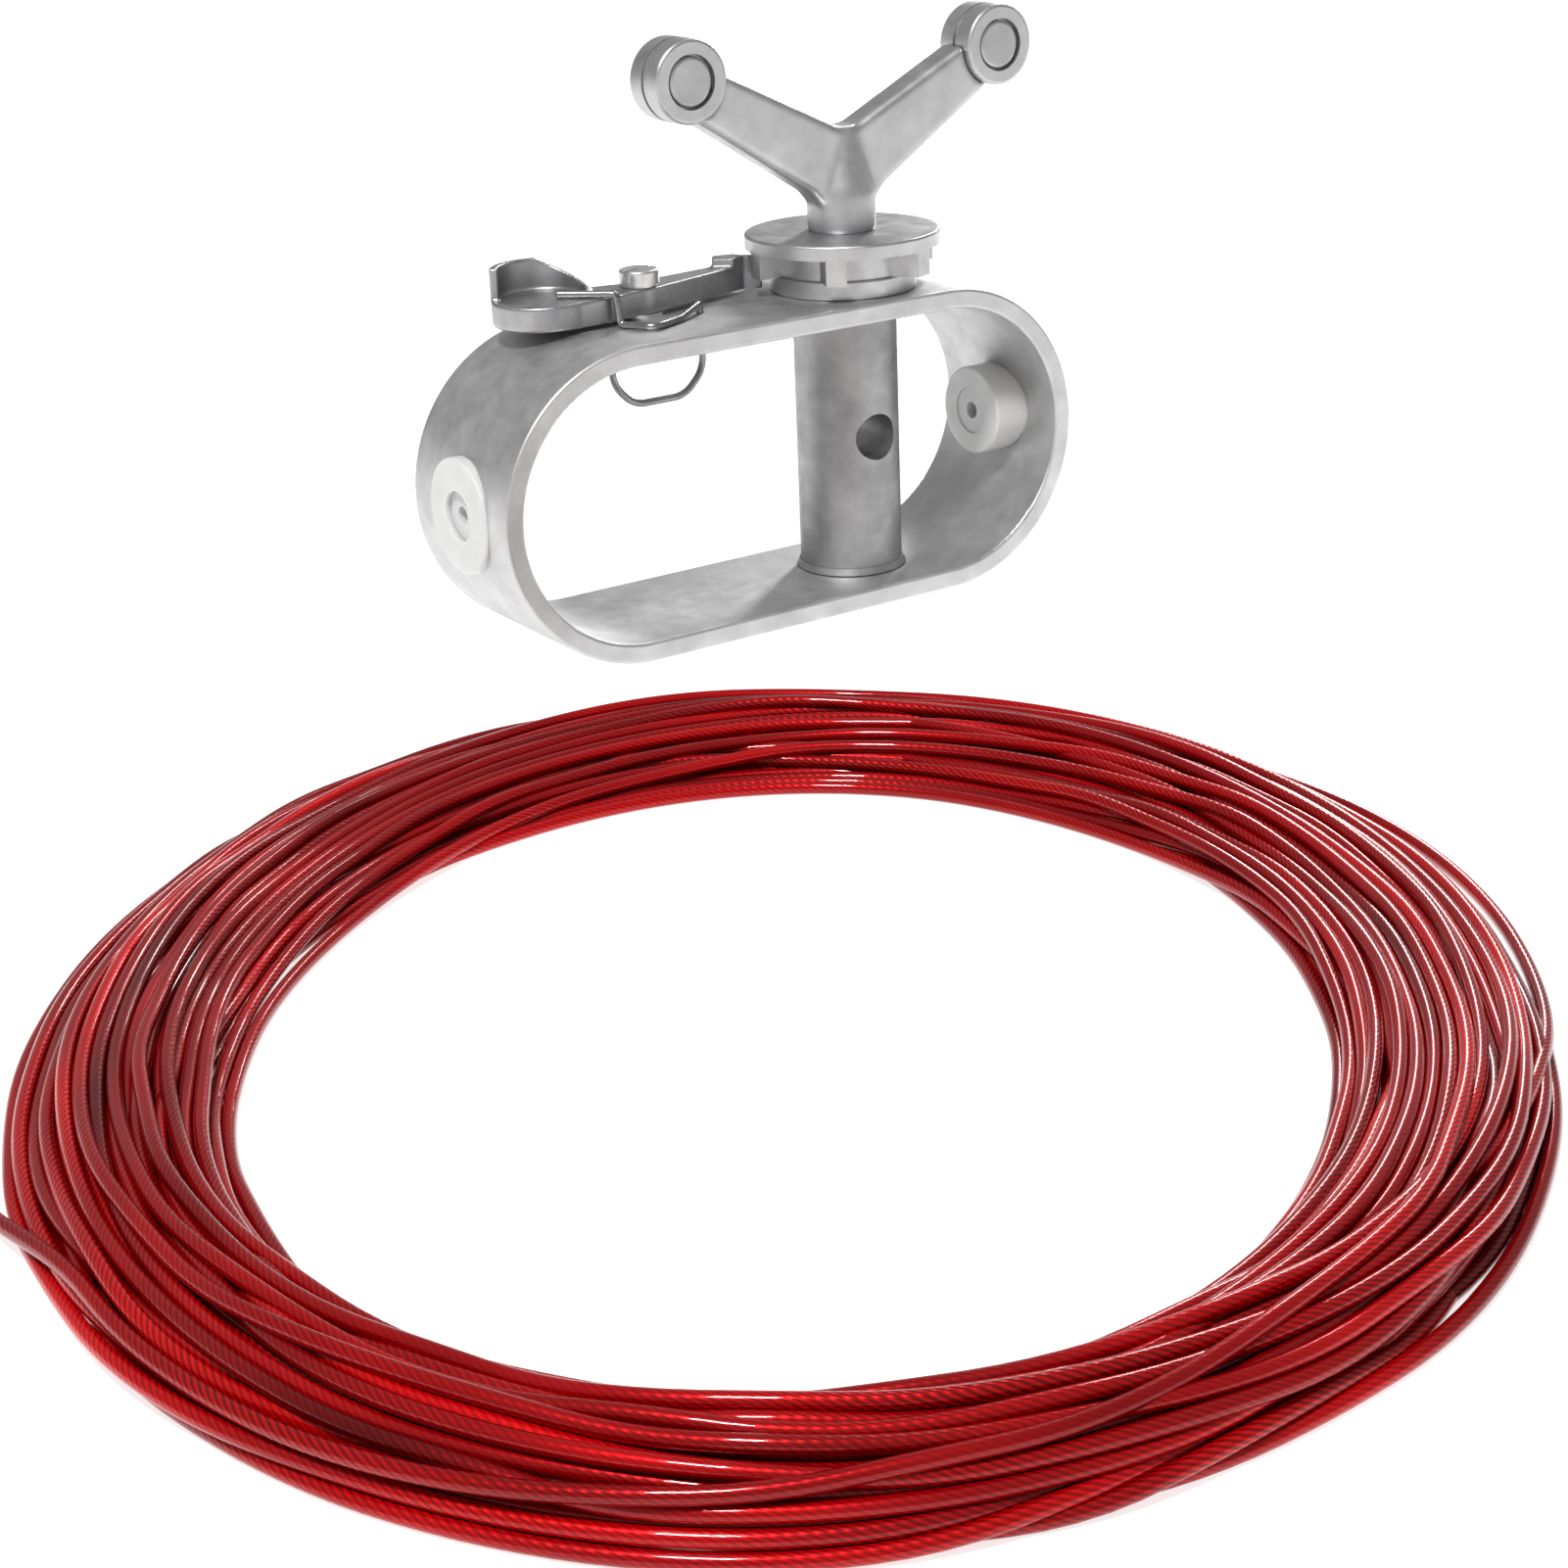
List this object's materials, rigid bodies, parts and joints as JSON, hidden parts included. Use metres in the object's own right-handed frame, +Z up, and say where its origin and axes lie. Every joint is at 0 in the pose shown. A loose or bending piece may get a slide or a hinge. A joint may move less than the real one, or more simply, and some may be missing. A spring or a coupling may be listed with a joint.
{
  "type": "ratchet cable winch",
  "caption": "Oval-framed hand ratchet winch with a Y handle, sprung pawl and cable drum, beside a loose round coil of coated steel cable.",
  "frame": {"origin": "middle of the frame's flat base, on the surface it stands on", "axes": "+X along the frame towards the spool's end, -Y is the front, +Z up along the spool's axis"},
  "size_m": [0.3178, 0.3363, 0.1276],
  "materials": {
    "frame_aluminium": "satin extruded aluminium with fine lengthwise die lines",
    "drum_aluminium": "as-cast aluminium, lightly pitted",
    "wheel_aluminium": "machined aluminium disc with cast teeth",
    "cast_aluminium": "satin die-cast aluminium",
    "insert_aluminium": "dull cast aluminium",
    "pawl_aluminium": "tumbled die-cast aluminium",
    "steel_fastener": "zinc-plated steel",
    "spring_wire": "drawn spring wire",
    "nylon": "white translucent nylon",
    "liner_nylon": "greyer translucent nylon",
    "red_jacket": "glossy red vinyl jacket over twisted steel cable"
  },
  "bodies": {
    "frame": {"frame_band": "frame_aluminium", "bushing_left": "nylon", "bushing_right": "nylon", "liner_left": "liner_nylon", "liner_right": "liner_nylon", "pawl_screw": "steel_fastener", "pawl_washer": "steel_fastener", "pawl_spacer": "steel_fastener", "pawl_nut": "steel_fastener", "spring_loop": "spring_wire", "pawl_spring": "spring_wire"},
    "spool": {"spool_drum": "drum_aluminium", "drum_foot_ring": "drum_aluminium", "drum_washer": "steel_fastener", "ratchet_wheel": "wheel_aluminium", "wheel_collar": "wheel_aluminium", "handle_yoke": "cast_aluminium", "handle_pin": "steel_fastener", "grip_boss_left": "cast_aluminium", "grip_boss_right": "cast_aluminium", "boss_inserts_left": "insert_aluminium", "boss_inserts_right": "insert_aluminium"},
    "pawl": {"pawl_lever": "pawl_aluminium"},
    "cable": {"cable_coil": "red_jacket", "cable_tail": "red_jacket"}
  },
  "joints": [
    {"name": "spool_spin", "type": "hinge", "parent": "frame", "child": "spool", "pos_m": [0.026, 0, 0.0345], "axis": [0, 0, 1], "continuous": true},
    {"name": "pawl_pivot", "type": "hinge", "parent": "frame", "child": "pawl", "pos_m": [-0.024, 0.006, 0.0725], "axis": [0, 0, 1], "range_deg": [0, 22], "stiffness_Nm_per_rad": 0.05, "springref_deg": -22.92, "deforming": ["pawl_spring"]},
    {"name": "coil_lift", "type": "slide", "parent": "frame", "child": "cable", "axis": [0, 0, 1], "range_m": [0, 0.2]}
  ]
}
